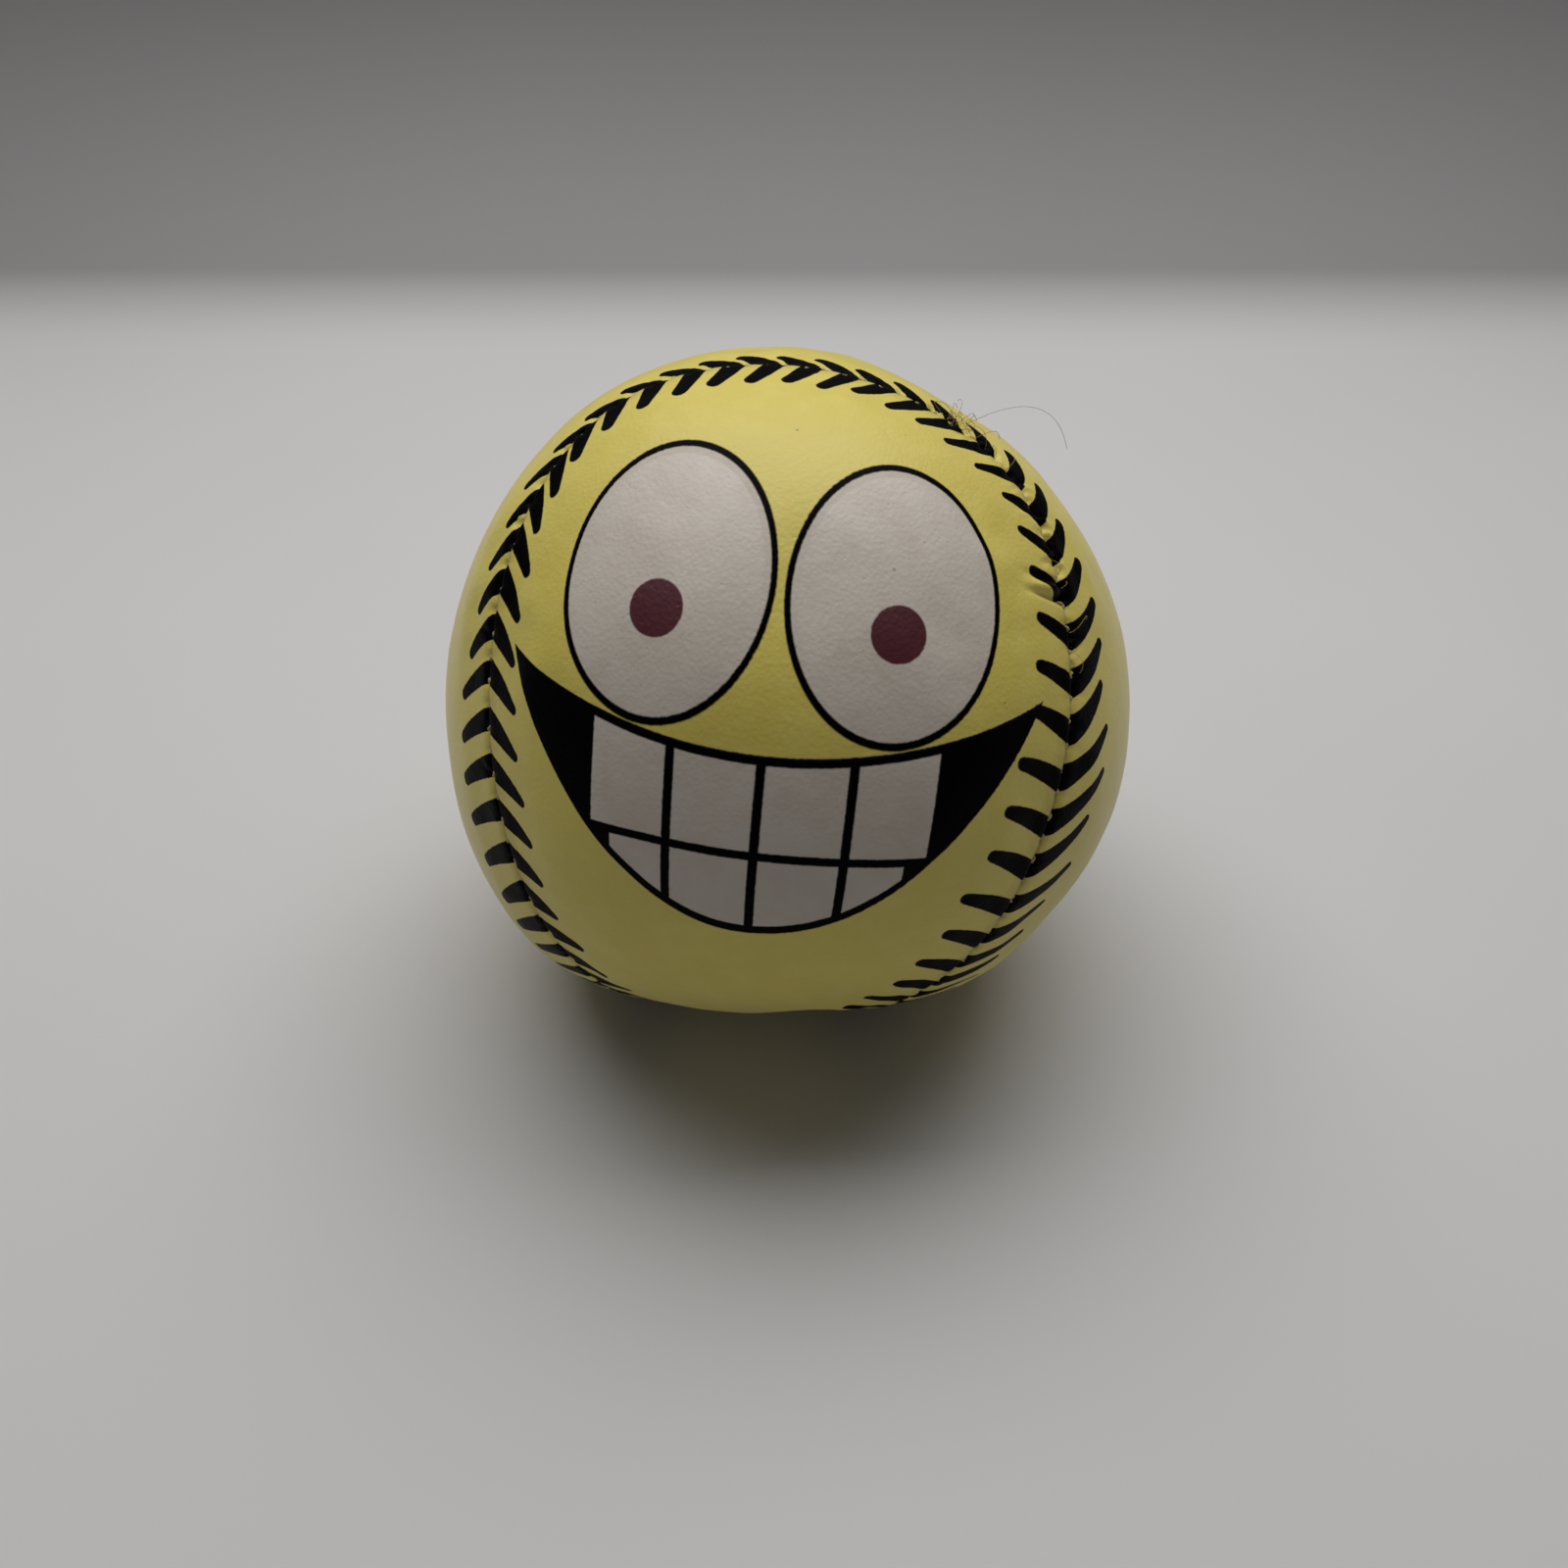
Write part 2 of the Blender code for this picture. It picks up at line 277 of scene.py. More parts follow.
@dataclass
class MarkStyle:
    """How one panel's printed marks lie, mostly as knots of fraction and value.

    Sweep is the angle from the seam and curl its change on either side, both in
    degrees; length and the widths at base and tip are in millimetres; a higher
    fullness keeps the base's width for longer.
    """

    sweep: tuple
    length: tuple
    base: tuple
    tip: tuple
    curl: tuple
    fullness: float

    def distance(self, fractions, run):
        """Signed distance to the nearest mark; run is measured across the leather."""
        nearest = np.round(mark_phase(fractions))
        best = np.full(len(fractions), 1.0)
        for neighbour in MARKS_IN_REACH:
            number = nearest + neighbour
            best = np.minimum(best, self.distance_to(number, fractions, run))
        return best

    def distance_to(self, number, fractions, run):
        """Signed distance to a numbered mark, walked as a row of discs."""
        root = fraction_of_mark(number)
        jitter = scatter(number % MARKS)
        sweep = np.radians(along_seam(root, self.sweep) + SWEEP_JITTER * jitter)
        curl = np.radians(along_seam(root, self.curl))
        length = along_seam(root, self.length) * MM * (1 + LENGTH_JITTER * jitter)
        base = along_seam(root, self.base) * MM * (1 - WIDTH_JITTER * jitter) / 2
        tip = along_seam(root, self.tip) * MM / 2
        along = wrapped(fractions - root) * SEAM.length
        across = run + MARK_ROOT
        step = (length + MARK_ROOT) / MARK_STEPS
        disc_along, disc_across = np.zeros_like(along), np.zeros_like(along)
        best = np.full(len(fractions), 1.0)
        for index in range(MARK_STEPS):
            share = (index + 0.5) / MARK_STEPS
            heading = sweep + curl - 2 * curl * share
            # the part in the fold goes straight down, the rest sweeps back
            in_fold = disc_across < MARK_ROOT
            disc_along = disc_along - np.where(in_fold, 0.0, np.cos(heading)) * step
            disc_across = disc_across + np.where(in_fold, 1.0, np.sin(heading)) * step
            half = tip + (base - tip) * (1 - share ** self.fullness)
            away = np.hypot(along - disc_along, across - disc_across) - half
            best = np.minimum(best, away)
        return best


FACE_MARKS = MarkStyle(
    sweep=((0.0, 62), (0.015, 52), (0.045, 51), (0.062, 58), (0.08, 62), (0.1, 71),
           (0.14, 75), (0.165, 80), (0.3, 62), (0.7, 56), (0.85, 54), (0.903, 53),
           (0.923, 46), (0.938, 36), (0.95, 40), (0.96, 56), (0.97, 66)),
    length=((0.0, 5.8), (0.02, 6.2), (0.042, 7.8), (0.06, 5.8), (0.09, 5.6), (0.113, 7.6),
            (0.15, 8.6), (0.165, 7.8), (0.5, 7), (0.84, 5.4), (0.867, 6.9), (0.91, 7.8),
            (0.937, 6.2), (0.96, 5.6)),
    base=((0.0, 2.4), (0.05, 2.2), (0.09, 2.6), (0.13, 2.8), (0.5, 3.0), (0.87, 3.2),
          (0.93, 2.7), (0.97, 2.8)),
    tip=((0.0, 1.8), (0.05, 1.4), (0.1, 1.6), (0.14, 1.6), (0.5, 1.4), (0.87, 1.2),
         (0.93, 1.4), (0.96, 2.4)),
    curl=((0.0, 4), (0.06, -4), (0.1, -10), (0.16, -8), (0.5, 0), (0.87, 5)),
    fullness=2.1)
SIDE_MARKS = MarkStyle(
    sweep=((0.0, 42), (0.015, 44), (0.03, 51), (0.045, 60), (0.056, 64), (0.07, 57),
           (0.1, 55), (0.14, 54), (0.155, 62), (0.3, 60), (0.7, 66), (0.86, 73),
           (0.884, 69), (0.904, 60), (0.924, 47), (0.97, 42)),
    length=((0.0, 5.5), (0.03, 5.5), (0.045, 6.8), (0.075, 8.2), (0.1, 10.4), (0.13, 12.2),
            (0.16, 11.0), (0.3, 9), (0.7, 8), (0.855, 9.6), (0.884, 8.6), (0.904, 7.5),
            (0.924, 5.9), (0.97, 5.0)),
    base=((0.0, 2.9), (0.03, 3.0), (0.06, 3.2), (0.1, 3.9), (0.13, 3.7), (0.16, 3.2),
          (0.5, 3.2), (0.87, 3.3), (0.93, 3.1), (0.97, 2.9)),
    tip=((0.0, 1.6), (0.05, 1.7), (0.08, 1.5), (0.12, 1.2), (0.5, 1.2), (0.87, 1.8),
         (0.93, 1.2)),
    curl=((0.0, 12), (0.03, 18), (0.06, 22), (0.1, 20), (0.15, 16), (0.5, 10), (0.87, 8),
          (0.91, 16), (0.95, 14)),
    fullness=1.3)

# ------------ relief of the leather


CREASE_SLANT = 0.55
CREASE_REACH = (1.6, 5.0)
CREASE_WIDTH = (0.28, 0.6)
CREASE_DEPTH = (0.03, 0.13)
CLOSING_CREASE_GAIN = 2.4
CREASE_RIM = 0.45


class Creases:
    """Small tucks that run from the stitches into the panel, more by the closing."""

    def __init__(self, count, strength):
        round_seam = DICE.uniform(0, 1, count)
        closing = DICE.uniform(CLOSING_START - 0.01, CLOSING_END + 0.015, count // 4)
        self.places = np.concatenate((round_seam, closing))
        total = len(self.places)
        self.slant = DICE.normal(0, CREASE_SLANT, total)
        self.reach = DICE.uniform(*CREASE_REACH, total) * MM
        self.width = DICE.uniform(*CREASE_WIDTH, total) * MM
        self.depth = DICE.uniform(*CREASE_DEPTH, total) * MM * strength
        self.depth[count:] *= CLOSING_CREASE_GAIN

    def depth_at(self, fractions, run):
        """How deep the tucks are, each with a slight rim on one side."""
        total = np.zeros(len(fractions))
        near = run < self.reach.max()
        place, across = fractions[near], run[near]
        sunk = np.zeros(len(place))
        for at, slant, reach, width, depth in zip(
                self.places, self.slant, self.reach, self.width, self.depth):
            shift = wrapped(place - at) * SEAM.length - slant * across
            profile = bump(shift, width) - CREASE_RIM * bump(shift - 2 * width, width)
            sunk += depth * profile * fade(across, 0.3 * reach, reach)
        total[near] = sunk
        return total


class Lumps:
    """Slow unevenness of the fibre filling felt through the leather."""

    def __init__(self, waves, shortest, longest, height):
        heading = unit(DICE.normal(size=(waves, 3)))
        lengths = DICE.uniform(shortest, longest, waves)
        self.waves = heading * (2 * math.pi * RADIUS / lengths)[:, None]
        self.starts = DICE.uniform(0, 2 * math.pi, waves)
        self.height = height * math.sqrt(2 / waves)

    def height_at(self, directions):
        """Sum of all waves at each direction."""
        return np.sin(directions @ self.waves.T + self.starts).sum(axis=1) * self.height


FILLING_LUMPS = Lumps(26, 14 * MM, 32 * MM, 0.09 * MM)
FINE_LUMPS = Lumps(30, 4.5 * MM, 8 * MM, 0.015 * MM)

# The cloth settles for some frames; its swelling is scaled, capped and blended.
CLOTH_FRAMES = 20
CLOTH_PRESSURE = 4.0
CLOTH_TIGHTENING = -0.012
CLOTH_QUALITY = 4
CLOTH_SUBDIVISIONS = 6
CLOTH_SWELL = 0.20 * MM
CLOTH_CAP = 0.30 * MM
CLOTH_BLEND = 0.042
CLOTH_NEIGHBOURS = 9
SEAM_HOLD = (1.5 * MM, 4.5 * MM)
SEAM_SAMPLES = 1440
STITCH_PULL = 0.15


class StuffedCover:
    """Swelling of the leather over its filling, settled by a short cloth simulation."""

    def __init__(self):
        self.tree = None
        self.settle()

    def settle(self):
        """Inflate the closed cover while the seam holds it, then keep the swelling."""
        ball = bmesh.new()
        bmesh.ops.create_icosphere(ball, subdivisions=CLOTH_SUBDIVISIONS, radius=1.0)
        directions = unit(np.array([vertex.co[:] for vertex in ball.verts]))
        start = surface(directions, 0.0)
        for vertex, place in zip(ball.verts, start):
            vertex.co = place
        mesh = bpy.data.meshes.new("cover_cloth")
        ball.to_mesh(mesh)
        ball.free()
        cover = bpy.data.objects.new("cover_cloth", mesh)
        bpy.context.scene.collection.objects.link(cover)
        self.hold(cover, directions)
        end = self.inflate(cover)
        bpy.data.objects.remove(cover)
        bpy.data.meshes.remove(mesh)
        grown = np.linalg.norm(end - CENTRE, axis=1) - np.linalg.norm(start - CENTRE, axis=1)
        middle, high = np.percentile(grown, (50, 95))
        scale = CLOTH_SWELL / max(high - middle, 1e-9)
        self.swell = np.clip((grown - middle) * scale, -CLOTH_CAP, CLOTH_CAP)
        self.tree = KDTree(len(directions))
        for index, direction in enumerate(directions):
            self.tree.insert(direction, index)
        self.tree.balance()

    def hold(self, cover, directions):
        """Pin the cover along the seam, harder at the stitches."""
        seam = Beside(np.linspace(0, 1, SEAM_SAMPLES, endpoint=False))
        nearness = directions @ seam.directions.T
        nearest = nearness.argmax(axis=1)
        away = np.arccos(np.clip(nearness.max(axis=1), -1, 1)) * RADIUS
        phase = mark_phase(seam.fractions[nearest])
        pull = 1 - STITCH_PULL + STITCH_PULL * np.cos(2 * math.pi * phase)
        weights = fade(away, *SEAM_HOLD) * pull
        group = cover.vertex_groups.new(name="seam")
        for index, weight in enumerate(weights):
            group.add([index], float(weight), "REPLACE")

    def inflate(self, cover):
        """Run the cloth under pressure without gravity and give its points."""
        cloth = cover.modifiers.new("cloth", "CLOTH")
        settings = cloth.settings
        settings.vertex_group_mass = "seam"
        settings.use_pressure = True
        settings.uniform_pressure_force = CLOTH_PRESSURE
        settings.shrink_min = CLOTH_TIGHTENING
        settings.quality = CLOTH_QUALITY
        settings.effector_weights.gravity = 0.0
        cloth.point_cache.frame_start = 1
        cloth.point_cache.frame_end = CLOTH_FRAMES
        scene = bpy.context.scene
        for number in range(1, CLOTH_FRAMES + 1):
            scene.frame_set(number)
        settled = cover.evaluated_get(bpy.context.evaluated_depsgraph_get())
        points = np.empty(3 * len(settled.data.vertices), np.float32)
        settled.data.vertices.foreach_get("co", points)
        scene.frame_set(1)
        return points.reshape(-1, 3).astype(float)

    def height_at(self, directions):
        """Swelling at any directions, blended from the nearest cloth points."""
        height = np.zeros(len(directions))
        if self.tree is None:
            return height
        for place, direction in enumerate(directions):
            found = self.tree.find_n(direction, CLOTH_NEIGHBOURS)
            shares = [math.exp(-(distance / CLOTH_BLEND) ** 2) for _, _, distance in found]
            values = [self.swell[index] for _, index, _ in found]
            height[place] = np.dot(shares, values) / sum(shares)
        return height


COVER = StuffedCover()


SHOULDER_REACH = 1.7 * MM
PIT_PLACE = 0.6 * MM
PUFF_PLACE = 1.6 * MM
PUFF_REACH = 1.0 * MM
PULL_SHARPNESS = 3
CLOSING_PIT = 0.20 * MM
CLOSING_PUFF = 0.10 * MM
PUCKER_DEPTH = 0.7 * MM
PUCKER_LENGTH = 1.1 * MM
PUCKER_REACH = 1.5 * MM


@dataclass
class Edge:
    """How one panel's leather folds into the seam and how the stitches pull it."""

    bend: float
    drop: float
    pit: float
    pit_reach: float
    puff: float
    creases: Creases

    def sink(self, fractions, run):
        """How far the leather lies under the plain form; run is from the fold."""
        beyond = np.maximum(run, 0.0)
        phase = mark_phase(fractions) * STITCHES_PER_MARK
        pull = (0.5 + 0.5 * np.cos(2 * math.pi * (phase - STITCH_START))) ** PULL_SHARPNESS
        sunk = self.drop * bump(beyond, SHOULDER_REACH)
        sunk += self.pit * pull * bump(beyond - PIT_PLACE, self.pit_reach)
        sunk -= self.puff * (1 - pull) * bump(beyond - PUFF_PLACE, PUFF_REACH)
        sunk += self.creases.depth_at(fractions, beyond)
        return sunk + self.closing_sink(fractions, beyond)

    def closing_sink(self, fractions, beyond):
        """The hand-sewn opening: a few long pulls and one deep pucker."""
        middle = (CLOSING_START + CLOSING_END) / 2
        spread = (CLOSING_END - CLOSING_START) / 2
        inside = fade(np.abs(wrapped(fractions - middle)), 0.8 * spread, 1.15 * spread)
        phase = (fractions - CLOSING_START) / (CLOSING_END - CLOSING_START)
        pull = (0.5 + 0.5 * np.cos(2 * math.pi * CLOSING_PULLS * phase)) ** 2
        sunk = inside * CLOSING_PIT * pull * bump(beyond - PIT_PLACE, 1.2 * MM)
        sunk -= inside * CLOSING_PUFF * (1 - pull) * bump(beyond - 2 * MM, 1.5 * MM)
        shift = wrapped(fractions - PUCKER) * SEAM.length
        pucker = bump(shift, PUCKER_LENGTH) * bump(beyond, PUCKER_REACH)
        return sunk + PUCKER_DEPTH * pucker


def pucker_fold(fractions, run):
    """A groove, a raised lip and a second groove from the pucker into the face."""
    shift = wrapped(fractions - PUCKER) * SEAM.length + 0.10 * run
    length = fade(run, 3.0 * MM, 8.5 * MM)
    groove = 0.60 * MM * bump(shift - 0.80 * MM, 0.42 * MM)
    lip = 0.46 * MM * bump(shift + 0.25 * MM, 0.60 * MM)
    second = 0.36 * MM * bump(shift + 1.60 * MM, 0.50 * MM)
    return (groove - lip + second) * length


FACE_EDGE = Edge(bend=0.42 * MM, drop=-0.20 * MM, pit=0.12 * MM, pit_reach=0.5 * MM,
                 puff=0.03 * MM, creases=Creases(70, 0.6))
SIDE_EDGE = Edge(bend=0.9 * MM, drop=0.75 * MM, pit=0.55 * MM, pit_reach=0.65 * MM,
                 puff=0.16 * MM, creases=Creases(240, 1.3))

# ------------ leather panels
# WALL is half the gap between the turned-in allowances, SKIN the leather.
WALL = 0.15 * MM
SKIN = 0.8 * MM
FLANGE_STEPS = (4.4 * MM, 3.2 * MM, 2.2 * MM)
BEND_STEPS = 8
SEAM_ZONE = 11.5 * MM
ZONE_STEP = 0.34 * MM
ZONE_GROWTH = 1.04
FINE_COLUMNS = MARKS * STITCHES_PER_MARK * 8
COLLAR = (12.4 * MM, 13.8 * MM)
DOME_RINGS = 26
DOME_RUN = 30 * MM
INNER_DOME_RINGS = 8
INNER_DOME_START = 6 * MM
INNER_RUN = 3 * MM
RELIEF_FADE = (1.6 * MM, 4 * MM)
MARK_ZONE = (-3 * MM, 14 * MM)
NO_MARK = 5 * MM


class Ring:
    """Points round a panel with what the materials need to know at each."""

    def __init__(self, points, run, fractions):
        self.points = points
        self.run = np.broadcast_to(run, len(points))
        self.fractions = fractions


class Skin:
    """The mesh of one leather panel, outer side fine and inner side coarse."""

    def __init__(self, is_face):
        self.is_face = is_face
        self.edge = FACE_EDGE if is_face else SIDE_EDGE
        self.marks = FACE_MARKS if is_face else SIDE_MARKS
        self.sign = FACE_SIDE if is_face else -FACE_SIDE
        self.flip = self.sign < 0
        self.rings = []
        self.size = 0
        self.faces = []
        self.beside = {}

    def columns(self, count):
        """Evenly spaced points of the seam, worked out once for each count."""
        if count not in self.beside:
            self.beside[count] = Beside((np.arange(count) + 0.5) / count)
        return self.beside[count]

    def add(self, ring):
        """Keep a ring and give its vertex numbers."""
        numbers = np.arange(len(ring.points)) + self.size
        self.rings.append(ring)
        self.size += len(ring.points)
        return numbers

    def join(self, *corners):
        """Add one face for each row of corners, turned to look outwards."""
        rows = np.stack(corners, axis=1)
        self.faces.extend((rows[:, ::-1] if self.flip else rows).tolist())

    def quads(self, low, high):
        """Join two rings of the same count."""
        self.join(low, np.roll(low, -1), np.roll(high, -1), high)

    def halve(self, low, high):
        """Join a ring to one with half its points."""
        left, right = low[0::2], low[1::2]
        self.join(left, right, high)
        self.join(right, np.roll(left, -1), np.roll(high, -1), high)

    def follow(self, previous, ring):
        """Add a ring, join it to the one before and give its vertex numbers."""
        current = self.add(ring)
        same = len(current) == len(previous)
        (self.quads if same else self.halve)(previous, current)
        return current

    def sunk(self, fractions, run):
        """How far the whole relief lies under the plain form."""
        beyond = np.full(len(fractions), max(run, 0.0))
        sunk = self.edge.sink(fractions, beyond)
        if self.is_face:
            sunk = sunk + pucker_fold(fractions, beyond)
        return sunk

    def near_seam(self, count, offset, depth, run):
        """A ring at a fixed offset beside the seam and a depth under the surface."""
        beside = self.columns(count)
        fractions = beside.fractions
        kept = fade(depth, *RELIEF_FADE)
        directions = beside.leaning(self.sign * offset)
        relief = self.sunk(fractions, run) * kept - self.lumps(directions)
        return Ring(surface(directions, depth, relief), run, fractions)

    def over_dome(self, count, start, share, depth):
        """A ring part of the way from the seam zone to the middle line."""
        beside = self.columns(count)
        near = beside.leaning(self.sign * start)
        directions = unit(near * (1 - share) + self.middle(beside) * share)
        run = start + share * DOME_RUN
        relief = self.sunk(beside.fractions, run) - self.lumps(directions)
        return Ring(surface(directions, depth, relief), run, beside.fractions)

    def lumps(self, directions):
        """How far the filling pushes the leather out."""
        lumps = FILLING_LUMPS.height_at(directions) + FINE_LUMPS.height_at(directions)
        return lumps + COVER.height_at(directions)

    def middle(self, beside):
        """Directions on the panel's middle line opposite each column."""
        waist = WAIST_AXIS if self.is_face else -WAIST_AXIS
        lobe = LOBE_AXIS if self.is_face else CROSS_AXIS
        seam = beside.directions
        angle = np.arctan2(seam @ lobe, seam @ waist) * LOBE_TIP_SHARE
        return np.cos(angle)[:, None] * waist + np.sin(angle)[:, None] * lobe

    def close_middle(self, previous, ring):
        """Weld the last ring across the middle line."""
        count = len(ring.points)
        tip = 0 if self.is_face else count // 4
        index = np.arange(count)
        mirror = (2 * tip - 1 - index) % count
        first = np.minimum(index, mirror)
        kept, place = np.unique(first, return_inverse=True)
        numbers = self.add(Ring(ring.points[kept], ring.run[kept], ring.fractions[kept]))
        last = numbers[place]
        for at in range(count):
            after = (at + 1) % count
            corners = (previous[at], previous[after], last[after], last[at])
            distinct = list(dict.fromkeys(int(corner) for corner in corners))
            self.faces.append(distinct[::-1] if self.flip else distinct)

    def outside(self):
        """Outer side, from the raw edge over the fold to the middle line."""
        bend = self.edge.bend
        count = FINE_COLUMNS
        raw_edge = FLANGE_STEPS[0]
        first = self.add(self.near_seam(count, WALL, raw_edge, bend - raw_edge))
        last = first
        for depth in FLANGE_STEPS[1:]:
            last = self.follow(last, self.near_seam(count, WALL, depth, bend - depth))
        for step in range(BEND_STEPS + 1):
            angle = math.pi / 2 * step / BEND_STEPS
            offset = WALL + bend * (1 - math.cos(angle))
            depth = bend * (1 - math.sin(angle))
            last = self.follow(last, self.near_seam(count, offset, depth, bend * angle))
        fold = bend * (math.pi / 2 - 1) - WALL
        offset, step = WALL + bend, ZONE_STEP
        while offset + step < SEAM_ZONE:
            offset += step
            step *= ZONE_GROWTH
            last = self.follow(last, self.near_seam(count, offset, 0.0, offset + fold))
        for offset in COLLAR:
            count //= 2
            last = self.follow(last, self.near_seam(count, offset, 0.0, offset + fold))
        self.cap(last, COLLAR[-1], DOME_RINGS, 0.0)
        return first

    def inside(self, first):
        """Inner side at the leather's thickness, closed to the raw edge."""
        self.flip = not self.flip
        last, count = first, FINE_COLUMNS
        for depth in (FLANGE_STEPS[0], FLANGE_STEPS[-1]):
            count //= 2
            last = self.follow(last, self.near_seam(count, WALL + SKIN, depth, -INNER_RUN))
        shoulder = WALL + max(self.edge.bend, SKIN)
        for offset, depth in ((shoulder, SKIN + 0.3 * MM), (INNER_DOME_START / 2, SKIN),
                              (INNER_DOME_START, SKIN)):
            last = self.follow(last, self.near_seam(count, offset, depth, INNER_RUN))
        self.cap(last, INNER_DOME_START, INNER_DOME_RINGS, SKIN)

    def cap(self, last, start, rings, depth):
        """Close a side from its last ring beside the seam to the middle line."""
        count = len(last)
        for step in range(1, rings):
            last = self.follow(last, self.over_dome(count, start, step / rings, depth))
        self.close_middle(last, self.over_dome(count, start, 1.0, depth))

    def build(self, name):
        """The finished panel with what its material reads stored at each point."""
        self.inside(self.outside())
        points = np.concatenate([ring.points for ring in self.rings])
        run = np.concatenate([ring.run for ring in self.rings])
        fractions = np.concatenate([ring.fractions for ring in self.rings])
        mesh = bpy.data.meshes.new(name)
        mesh.from_pydata(points.tolist(), [], self.faces)
        mesh.shade_smooth()
        save(mesh, "seam_run", "FLOAT", "value", run)
        save(mesh, "mark_distance", "FLOAT", "value", self.mark_distance(fractions, run))
        save(mesh, "face_place", "FLOAT_VECTOR", "vector", face_place(points))
        piece = bpy.data.objects.new(name, mesh)
        bpy.context.scene.collection.objects.link(piece)
        return piece

    def mark_distance(self, fractions, run):
        """Signed distance to the printed marks, far from the seam a constant."""
        distance = np.full(len(run), NO_MARK)
        near = (run > MARK_ZONE[0]) & (run < MARK_ZONE[1])
        distance[near] = self.marks.distance(fractions[near], run[near])
        return np.minimum(distance, NO_MARK)


def save(mesh, name, kind, field, values):
    """Store a value or a vector at each point of a mesh."""
    attribute = mesh.attributes.new(name, kind, "POINT")
    attribute.data.foreach_set(field, np.asarray(values, np.float32).ravel())


def face_place(points):
    """Place on the face lobe as metres right and up along the surface."""
    local = unit((points - CENTRE) @ TURN)
    right, up, out = local @ RIGHT_AXIS, -(local @ WAIST_AXIS), local @ LOBE_AXIS
    angle = np.arccos(np.clip(out, -1, 1))
    level = np.maximum(np.hypot(right, up), 1e-9)
    place = np.stack((right / level * angle, up / level * angle, angle), axis=-1)
    return place * RADIUS


# ------------ materials
class Number:
    """A shader value; arithmetic on it adds Math nodes."""

    def __init__(self, tree, socket):
        self.tree = tree
        self.socket = socket

    def math(self, operation, *others, clamp=False):
        """The result of one Math node with this value as its first input."""
        node = self.tree.nodes.new("ShaderNodeMath")
        node.operation = operation
        node.use_clamp = clamp
        for place, value in zip(node.inputs, (self, *others)):
            connect(self.tree, value, place)
        return Number(self.tree, node.outputs[0])

    def __add__(self, other):
        return self.math("ADD", other)

    def __sub__(self, other):
        return self.math("SUBTRACT", other)

    def __mul__(self, other):
        return self.math("MULTIPLY", other)

    def __truediv__(self, other):
        return self.math("DIVIDE", other)

    def absolute(self):
        return self.math("ABSOLUTE")

    def clamped(self):
        """The value kept between zero and one."""
        return self.math("ADD", 0.0, clamp=True)

    def lowest(self, other):
        return self.math("MINIMUM", other)

    def highest(self, other):
        return self.math("MAXIMUM", other)

    def below(self, limit, soft):
        """One where the value is under a limit, zero above, with a soft edge."""
        return ((self - limit) * (-1 / soft) + 0.5).clamped()


def connect(tree, value, place):
    """Feed a socket from a shader value, a socket or a plain constant."""
    if isinstance(value, Number):
        tree.links.new(value.socket, place)
    elif isinstance(value, bpy.types.NodeSocket):
        tree.links.new(value, place)
    else:
        place.default_value = value


class Look:
    """A Principled material that is built up from procedural nodes."""

    def __init__(self, name):
        self.material = bpy.data.materials.new(name)
        self.material.use_nodes = True
        self.tree = self.material.node_tree
        self.shader = self.tree.nodes["Principled BSDF"]
        self.position = self.node("ShaderNodeNewGeometry").outputs["Position"]

    def node(self, kind, **settings):
        """A new node with its settings made."""
        made = self.tree.nodes.new(kind)
        for name, value in settings.items():
            setattr(made, name, value)
        return made

    def set(self, **values):
        """Feed the shader's inputs, with underscores for the spaces in their names."""
        for name, value in values.items():
            connect(self.tree, value, self.shader.inputs[name.replace("_", " ")])

    def stored(self, name):
        """The node that reads an attribute of the mesh."""
        return self.node("ShaderNodeAttribute", attribute_name=name)

    def number(self, name):
        """A number stored at each point of the mesh."""
        return Number(self.tree, self.stored(name).outputs["Fac"])

    def parts(self, vector):
        """The three components of a vector."""
        split = self.node("ShaderNodeSeparateXYZ")
        connect(self.tree, vector, split.inputs[0])
        return [Number(self.tree, split.outputs[axis]) for axis in range(3)]

    def noise(self, size, detail=2.0, roughness=0.5, distortion=0.0):
        """Noise between zero and one with features of the given size in metres."""
        made = self.node("ShaderNodeTexNoise")
        connect(self.tree, self.position, made.inputs["Vector"])
        made.inputs["Scale"].default_value = 1 / size
        made.inputs["Detail"].default_value = detail
        made.inputs["Roughness"].default_value = roughness
        made.inputs["Distortion"].default_value = distortion
        return Number(self.tree, made.outputs["Fac"])

    def cells(self, size):
        """Distance to the nearest of scattered points, one in each cell of this size."""
        made = self.node("ShaderNodeTexVoronoi", feature="F1")
        connect(self.tree, self.position, made.inputs["Vector"])
        made.inputs["Scale"].default_value = 1 / size
        made.inputs["Randomness"].default_value = 1.0
        return Number(self.tree, made.outputs["Distance"])

    def mix(self, share, first, second):
        """Blend of two colours; a share of one gives the second."""
        made = self.node("ShaderNodeMix", data_type="RGBA")
        connect(self.tree, share, made.inputs["Factor"])
        connect(self.tree, first, made.inputs[6])
        connect(self.tree, second, made.inputs[7])
        return made.outputs[2]

    def bump(self, height, distance, strength, under=None):
        """A normal with relief; under is an earlier normal that it adds to."""
        made = self.node("ShaderNodeBump")
        connect(self.tree, height, made.inputs["Height"])
        made.inputs["Distance"].default_value = distance
        made.inputs["Strength"].default_value = strength
        if under is not None:
            connect(self.tree, under, made.inputs["Normal"])
        return made.outputs["Normal"]


